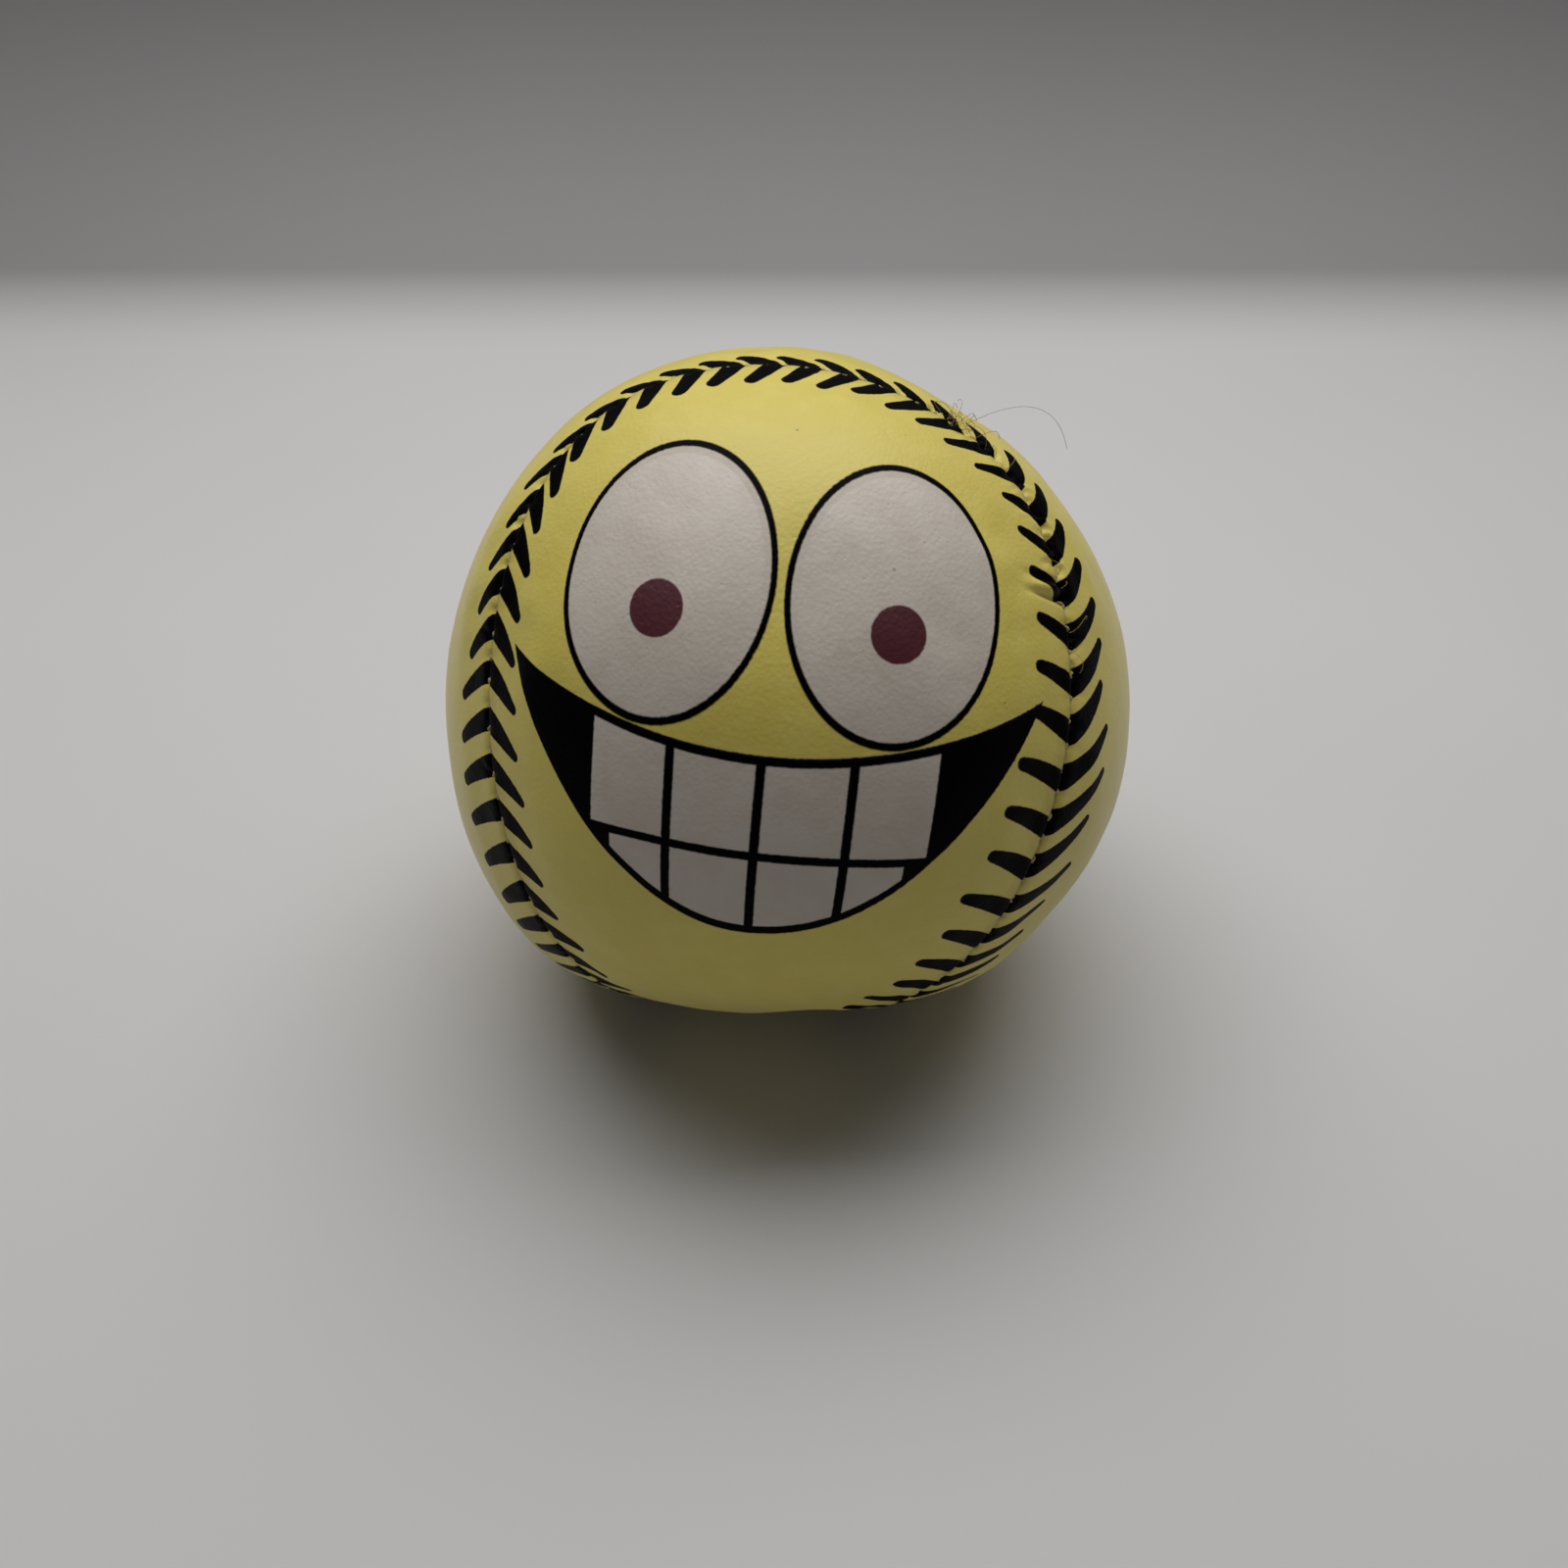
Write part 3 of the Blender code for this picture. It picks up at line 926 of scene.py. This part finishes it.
YELLOW = (0.690, 0.585, 0.118, 1.0)
DEEP_YELLOW = (0.630, 0.515, 0.092, 1.0)
PALE_YELLOW = (0.740, 0.645, 0.178, 1.0)
# Dirt and painted shade at the seam, where the leather folds into it
SEAM_DIRT_AND_SHADE = (0.170, 0.110, 0.025, 1.0)
INK = (0.0012, 0.0012, 0.0014, 1.0)
WHITE_INK = (0.600, 0.545, 0.480, 1.0)
WHITE_STAIN = (0.520, 0.455, 0.380, 1.0)
RED_INK = (0.070, 0.004, 0.012, 1.0)
DIRT = (0.10, 0.07, 0.03, 1.0)
WORN_INK = (0.10, 0.095, 0.08, 1.0)
SOILED_YARN = (0.30, 0.22, 0.05, 1.0)
DUSTY_YARN = (0.50, 0.40, 0.13, 1.0)
SHADED_COTTON = (0.62, 0.60, 0.54, 1.0)
COTTON = (0.80, 0.79, 0.74, 1.0)
SHADED_POLYESTER = (0.70, 0.70, 0.67, 1.0)
POLYESTER = (0.92, 0.92, 0.90, 1.0)
PAPER = (0.60, 0.593, 0.597, 1.0)
SHADED_PAPER = (0.565, 0.558, 0.562, 1.0)
PAPER_SPECK = (0.32, 0.30, 0.26, 1.0)
BLACK = (0.0, 0.0, 0.0, 1.0)

# The printed face, measured on the surface from the middle of the lobe
FACE_REACH = 52 * MM
EYE_X = 13.4 * MM
EYE_Y = 24.6 * MM
EYE_HALF_WIDTH = 12.2 * MM
EYE_HALF_HEIGHT = 15.6 * MM
EYE_LINE = 1.5 * MM
PUPIL_RADIUS = 3.2 * MM
PUPIL_DROP = 4 * MM
MOUTH_HALF_WIDTH = 33.7 * MM
MOUTH_CORNER_Y = 14.0 * MM
LIP_Y = 6.6 * MM
CHIN_Y = -16.2 * MM
TEETH_HALF_WIDTH = 20.0 * MM
LOWER_TEETH_INSET = 2.5 * MM
TOOTH_GAP = 0.55 * MM
UPPER_GUM = 1.1 * MM
LOWER_GUM = 1.3 * MM
BITE_Y = -5.0 * MM
SOFT_EDGE = 0.12 * MM


def ellipse(x, y, half_width, half_height):
    """Rough signed distance to an ellipse about the origin."""
    across, over = x / half_width, y / half_height
    size = (across * across + over * over).math("SQRT")
    return (size - 1.0) * min(half_width, half_height)


def parabola(x, y, middle, corner_y):
    """Height above a parabola through both mouth corners and a middle point."""
    rise = (corner_y - middle) / MOUTH_HALF_WIDTH ** 2
    return y - (x * x * rise + middle)


def printed_face(look, wobble):
    """Masks for the black, white and red inks of a plain symmetrical grin."""
    x, y, away = look.parts(look.stored("face_place").outputs["Vector"])
    x = x + wobble
    y = y + wobble
    side = x.absolute()
    front = away.below(FACE_REACH, SOFT_EDGE)
    eye = ellipse(side - EYE_X, y - EYE_Y, EYE_HALF_WIDTH, EYE_HALF_HEIGHT)
    pupil = ellipse(side - EYE_X, y - EYE_Y + PUPIL_DROP, PUPIL_RADIUS, PUPIL_RADIUS)
    lip = parabola(x, y, LIP_Y, MOUTH_CORNER_Y)
    chin = parabola(x, y, CHIN_Y, MOUTH_CORNER_Y) * -1.0
    mouth = lip.highest(chin)
    upper = (lip + UPPER_GUM).highest((y - BITE_Y) * -1.0 + TOOTH_GAP)
    lower = (y - BITE_Y + TOOTH_GAP).highest(chin + LOWER_GUM)
    spacing = TEETH_HALF_WIDTH / 2
    from_gap = (x / spacing).math("PINGPONG", 0.5) * spacing
    edge = side - (TEETH_HALF_WIDTH - TOOTH_GAP)
    teeth = upper.highest(edge).lowest(lower.highest(edge + LOWER_TEETH_INSET))
    teeth = teeth.highest(from_gap * -1.0 + TOOTH_GAP)
    white = eye.below(0.0, SOFT_EDGE).highest(teeth.below(0.0, SOFT_EDGE))
    black = (eye.absolute() - EYE_LINE / 2).lowest(mouth).below(0.0, SOFT_EDGE)
    red = pupil.below(0.0, SOFT_EDGE)
    return black * front, white * front, red * front


def bare_leather(look, mottle, run):
    """Clouded yellow, blotched with dirt and painted shade beside the seam, and painted shade
    where it turns into the seam.
    """
    pale = (mottle - 0.45).math("MULTIPLY", 1.3, clamp=True)
    colour = look.mix(look.noise(22 * MM, 3.0), DEEP_YELLOW, YELLOW)
    colour = look.mix(pale, colour, PALE_YELLOW)
    # dirt and painted shade near the fold, in noisy blotches
    smear = run.below(1.6 * MM, 1.8 * MM) * look.noise(1.1 * MM, 4.0, 0.6)
    colour = look.mix(smear * 0.42, colour, SEAM_DIRT_AND_SHADE)
    # painted shade: a dark band where the leather turns into the seam
    return look.mix(run.below(0.62 * MM, 0.4 * MM) * 0.9, colour, SEAM_DIRT_AND_SHADE)


def black_ink(look, run):
    """Ink that is rubbed off in spots beside the seam."""
    rubbed = look.noise(0.7 * MM, 4.0, 0.7).below(0.31, 0.02)
    rubbed = rubbed * run.below(2.2 * MM, 1.5 * MM)
    return look.mix(rubbed * 0.55, INK, WORN_INK)


def white_ink(look):
    """White ink, stained in patches."""
    stain = (look.noise(6 * MM, 5.0, 0.65) - 0.4).math("MULTIPLY", 2.2, clamp=True)
    return look.mix(stain, WHITE_INK, WHITE_STAIN)


def leather_relief(look):
    """Fine grain, pores and shallow wrinkles as a normal."""
    grain = look.cells(0.55 * MM) * 0.6 + look.noise(0.28 * MM, 3.0) * 0.4
    pores = look.cells(1.6 * MM).below(0.09, 0.05)
    wrinkle = look.noise(1.6 * MM, 3.0, 0.6, distortion=0.8)
    normal = look.bump(grain, 0.08 * MM, 0.6)
    normal = look.bump(pores * -1.0, 0.05 * MM, 0.5, normal)
    return look.bump(wrinkle, 0.09 * MM, 0.45, normal)


def leather(name, has_face):
    """Printed synthetic leather: soft sheen but for black ink, a few specks of dirt."""
    look = Look(name)
    run = look.number("seam_run")
    mottle = look.noise(4 * MM, 4.0, 0.6)
    wobble = (look.noise(0.5 * MM, 2.0) - 0.5) * (0.16 * MM)
    black = (look.number("mark_distance") + wobble).below(0.0, SOFT_EDGE)
    if has_face:
        face_black, white, red = printed_face(look, wobble)
        black = black.highest(face_black)
    colour = look.mix(black, bare_leather(look, mottle, run), black_ink(look, run))
    if has_face:
        colour = look.mix(white, colour, white_ink(look))
        colour = look.mix(red, colour, RED_INK)
    rare = look.cells(7 * MM) + look.noise(0.5 * MM) * 0.04
    look.set(Base_Color=look.mix(rare.below(0.045, 0.02) * 0.7, colour, DIRT))
    look.set(Roughness=(mottle - 0.5) * 0.14 + 0.50 - black * 0.08)
    look.set(Specular_IOR_Level=black * -0.44 + 0.46)
    look.set(Sheen_Weight=black * -0.25 + 0.25, Sheen_Roughness=0.35)
    look.set(Normal=leather_relief(look))
    return look.material


def yarn(name):
    """Twisted sewing thread with fine ply lines and lint."""
    look = Look(name)
    ply = look.node("ShaderNodeTexWave", wave_type="BANDS", bands_direction="DIAGONAL")
    connect(look.tree, look.position, ply.inputs["Vector"])
    ply.inputs["Scale"].default_value = 1 / (0.9 * MM)
    ply.inputs["Distortion"].default_value = 2.0
    twist = Number(look.tree, ply.outputs["Fac"])
    lint = look.noise(0.2 * MM, 3.0)
    look.set(Base_Color=look.mix(twist * 0.7, SOILED_YARN, DUSTY_YARN))
    look.set(Roughness=lint * 0.3 + 0.55)
    look.set(Sheen_Weight=0.3, Normal=look.bump(twist + lint * 0.5, 0.05 * MM, 0.7))
    return look.material


def knit(name):
    """Brushed cotton knit: rows of loops with a little fluff."""
    look = Look(name)
    x, y, z = look.parts(look.position)
    rows = (z / (0.9 * MM)).math("SINE")
    loops = (x / (0.55 * MM) + y / (0.8 * MM)).math("SINE")
    height = rows * loops
    fluff = look.noise(0.35 * MM, 4.0)
    look.set(Base_Color=look.mix(fluff, SHADED_COTTON, COTTON), Roughness=0.92, Sheen_Weight=0.4)
    look.set(Normal=look.bump(height + fluff, 0.18 * MM, 0.8))
    return look.material


def fibre(name):
    """Matted polyester fibre: long tangled strands."""
    look = Look(name)
    strands = look.noise(2.2 * MM, 6.0, 0.75, distortion=3.0)
    clump = look.noise(9 * MM, 3.0)
    look.set(Base_Color=look.mix(strands, SHADED_POLYESTER, POLYESTER), Roughness=0.95)
    look.set(Sheen_Weight=0.5, Normal=look.bump(strands + clump, 0.6 * MM, 0.9))
    return look.material


# ------------ threads
# Radii of the threads and hairs, and how deep the seam's thread lies.
THREAD = 0.16 * MM
THREAD_DEPTH = 0.50 * MM
HAIR = 0.025 * MM
FUZZ = 0.03 * MM
LINT = 0.028 * MM
LOOSE_END_POINTS = 18


def stitch_path(side):
    """One thread of the lockstitch: four points a stitch, from hole to hole."""
    phase = (np.arange(MARKS * STITCHES_PER_MARK) + STITCH_START) / STITCHES_PER_MARK
    places = fraction_of_mark(phase)
    keep = (places < CLOSING_START) | (places > CLOSING_END)
    places = np.roll(places[keep], -int((places < CLOSING_START).sum()))
    beside = Beside(places)
    jitter = DICE.normal(0, 1, (len(places), 3))
    hidden = side * 0.80
    corners = ((-0.55, hidden, 1.0), (-0.17 * side, 0.16, 0.12),
               (0.20 * side, -0.55, 0.0), (0.55, hidden, 0.9))
    if side < 0:
        corners = (corners[0], corners[2], corners[1], corners[3])
    rows = []
    for shift, offset, sink in corners:
        depth = THREAD_DEPTH + (sink + jitter[:, 0] * 0.05) * MM
        offset = FACE_SIDE * (offset + jitter[:, 1] * 0.04) * MM
        rows.append(beside.place(offset, depth, (shift + jitter[:, 2] * 0.08) * MM))
    return np.stack(rows, axis=1).reshape(-1, 3)


def ladder_path():
    """Hand-sewn ladder stitch over the filling opening."""
    pulls = np.arange(CLOSING_PULLS + 1) / CLOSING_PULLS
    places = CLOSING_START + pulls * (CLOSING_END - CLOSING_START)
    beside = Beside(places)
    path = []
    near = beside.place(FACE_SIDE * 0.55 * MM, 0.55 * MM)
    far = beside.place(-FACE_SIDE * 0.75 * MM, 0.75 * MM, 0.3 * MM)
    deep = beside.place(FACE_SIDE * 0.9 * MM, 2.0 * MM)
    for index in range(len(places)):
        path.extend((deep[index], near[index], far[index], deep[index]))
    return np.array(path)


def loose_end(fraction, lean, length, curl):
    """A loose thread end or hair that lifts off the seam and curls."""
    beside = Beside([fraction])
    root = beside.place(0.0, 0.3 * MM)[0]
    out = beside.directions[0] @ TURN.T
    along = beside.along[0] @ TURN.T
    across = beside.across[0] @ TURN.T * FACE_SIDE
    share = np.linspace(0, 1, LOOSE_END_POINTS)[:, None]
    forward = along * np.cos(lean) + across * np.sin(lean)
    sideways = np.cross(out, forward)
    arch = out * 0.5 * np.sin(share * 2.4)
    swirl = sideways * 0.25 * (1 - np.cos(curl * share))
    return root + length * (arch + forward * 0.7 * share + swirl)


def add_thread(name, paths, look):
    """Round threads along smooth paths; each path comes with its radius."""
    data = bpy.data.curves.new(name, "CURVE")
    data.dimensions = "3D"
    data.bevel_depth = 1.0
    data.bevel_resolution = 2
    data.resolution_u = 3
    data.use_fill_caps = True
    for path, radius in paths:
        spline = data.splines.new("NURBS")
        spline.points.add(len(path) - 1)
        spline.order_u = 3
        spline.use_endpoint_u = True
        for point, place in zip(spline.points, path):
            point.co = (*place, 1.0)
            point.radius = radius
    data.materials.append(look)
    piece = bpy.data.objects.new(name, data)
    bpy.context.scene.collection.objects.link(piece)
    return piece


def loose_threads():
    """Fuzz and ends left where the opening was closed, and one long hair."""
    paths = [(loose_end(CLOSING_START, 0.5, 15 * MM, 2.2), HAIR)]
    for _ in range(16):
        fraction = CLOSING_START + DICE.normal(0, 0.0022)
        lean, curl = DICE.uniform(-3, 3), DICE.uniform(2, 7)
        length = DICE.uniform(1.5, 4.5) * MM
        paths.append((loose_end(fraction, lean, length, curl), FUZZ))
    for _ in range(10):
        fraction = DICE.uniform(CLOSING_START - 0.01, CLOSING_END + 0.02)
        lean, curl = DICE.uniform(-3, 3), DICE.uniform(0, 5)
        length = DICE.uniform(1.2, 3.5) * MM
        paths.append((loose_end(fraction, lean, length, curl), LINT))
    return paths


# ------------ assembly
def show(piece, node):
    """Let a piece stand for a CAD node on the ball's one body."""
    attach(piece, "root")
    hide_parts(node)


def add_ball():
    """Leather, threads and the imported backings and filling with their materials."""
    for is_face, name, node, slot in ((True, "face_panel_skin", "face_panel", "face_leather"),
                                      (False, "side_panel_skin", "side_panel", "side_leather")):
        skin = Skin(is_face).build(name)
        skin.data.materials.append(leather(slot, is_face))
        show(skin, node)
    thread = yarn("sewing_thread")
    show(add_thread("needle_stitches", [(stitch_path(1), THREAD)], thread),
         "needle_thread")
    show(add_thread("bobbin_stitches", [(stitch_path(-1), THREAD)], thread),
         "bobbin_thread")
    closing = [(ladder_path(), THREAD)] + loose_threads()
    show(add_thread("closing_stitches", closing, thread), "closing_thread")
    lining, filling = knit("brushed_knit"), fibre("matted_fibre")
    for node, look, slot in (("face_panel_backing", lining, "knit_backing"),
                             ("side_panel_backing", lining, "knit_backing"),
                             ("fibre_stuffing", filling, "fibre")):
        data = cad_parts[node].data
        data.materials.clear()
        data.materials.append(look)


# ------------ surroundings
SWEEP_NEAR = -1.2
SWEEP_TOP = 1.3
SWEEP_HALF_WIDTH = 1.6
BEND_START = 0.27
BEND_RADIUS = 0.10
BEND_SIDES = 12
FIRST_SHADE = 0.012


def add_floor():
    """Pale sweep: a flat table that curves up into a backdrop."""
    profile = [(SWEEP_NEAR, FLOOR), (BEND_START, FLOOR)]
    for step in range(1, BEND_SIDES + 1):
        angle = math.pi / 2 * step / BEND_SIDES
        profile.append((BEND_START + BEND_RADIUS * math.sin(angle),
                        FLOOR + BEND_RADIUS * (1 - math.cos(angle))))
    profile.append((BEND_START + BEND_RADIUS, SWEEP_TOP))
    sides = (-SWEEP_HALF_WIDTH, SWEEP_HALF_WIDTH)
    points = [(x, y, z) for x in sides for y, z in profile]
    count = len(profile)
    faces = [(i, i + 1, i + 1 + count, i + count) for i in range(count - 1)]
    mesh = bpy.data.meshes.new("sweep")
    mesh.from_pydata(points, [], [face[::-1] for face in faces])
    mesh.shade_smooth()
    sweep = bpy.data.objects.new("sweep", mesh)
    bpy.context.scene.collection.objects.link(sweep)
    mesh.materials.append(sweep_paper())


def sweep_paper():
    """Matt paper with faint clouds and specks, darkened by painted shade where it climbs."""
    look = Look("sweep_paper")
    specks = look.cells(50 * MM).below(0.008, 0.004)
    height = look.parts(look.position)[2] - FLOOR
    # painted shade: the paper's colour darkens as it rises from the floor into the backdrop
    shade = (height / FIRST_SHADE).clamped() * 0.52 + (height / BEND_RADIUS).clamped() * 0.05
    colour = look.mix(look.noise(120 * MM), SHADED_PAPER, PAPER)
    colour = look.mix(shade, colour, BLACK)
    colour = look.mix(specks * 0.25, colour, PAPER_SPECK)
    look.set(Base_Color=colour, Roughness=0.7, Specular_IOR_Level=0.2)
    look.set(Normal=look.bump(look.noise(0.6 * MM), 0.02 * MM, 0.3))
    return look.material


LIGHT_PLACE = Vector((-0.01, 0.15, 0.60))
LIGHT_AIM = Vector((0.0, 0.02, 0.0))
LIGHT_SIZE = (0.80, 0.42)
LIGHT_WATTS = 3.95
LIGHT_COLOUR = (1.0, 0.99, 0.98)
TENT_COLOUR = (1.0, 0.985, 0.965, 1.0)
TENT_STRENGTH = 0.095


def add_lights():
    """A light tent: one wide lamp overhead and dim walls all round."""
    world = bpy.data.worlds.new("tent")
    world.use_nodes = True
    background = world.node_tree.nodes["Background"]
    background.inputs["Color"].default_value = TENT_COLOUR
    background.inputs["Strength"].default_value = TENT_STRENGTH
    bpy.context.scene.world = world
    data = bpy.data.lights.new("tent_top", "AREA")
    data.shape = "RECTANGLE"
    data.size, data.size_y = LIGHT_SIZE
    data.energy = LIGHT_WATTS
    data.color = LIGHT_COLOUR
    light = bpy.data.objects.new("tent_top", data)
    light.location = LIGHT_PLACE
    light.rotation_euler = (LIGHT_AIM - LIGHT_PLACE).to_track_quat("-Z", "Y").to_euler()
    bpy.context.scene.collection.objects.link(light)


# Distances are in ball radii; AIM is the ball's centre as the camera sees it.
CAMERA_DISTANCE = 3.789
CAMERA_PITCH = math.radians(38)
CAMERA_LENS = 29.25
CAMERA_SENSOR = 36
CAMERA_STOP = 20
FOCUS_NEARER = 0.55
AIM = (0.0039, 0.0651, -1.0)


def add_camera():
    """Wide lens close to the ball, looking down at it from the front."""
    data = bpy.data.cameras.new("camera")
    data.lens = CAMERA_LENS
    data.sensor_width = CAMERA_SENSOR
    data.clip_start = 0.01
    data.dof.use_dof = True
    data.dof.focus_distance = (CAMERA_DISTANCE - FOCUS_NEARER) * RADIUS
    data.dof.aperture_fstop = CAMERA_STOP
    camera = bpy.data.objects.new("camera", data)
    camera.rotation_euler = (math.pi / 2 - CAMERA_PITCH, 0, 0)
    to_ball = camera.rotation_euler.to_matrix() @ Vector(AIM).normalized()
    camera.location = Vector(CENTRE) - to_ball * CAMERA_DISTANCE * RADIUS
    bpy.context.scene.collection.objects.link(camera)
    bpy.context.scene.camera = camera


bpy.context.scene.view_settings.view_transform = "Standard"
add_ball()
add_floor()
add_lights()
add_camera()
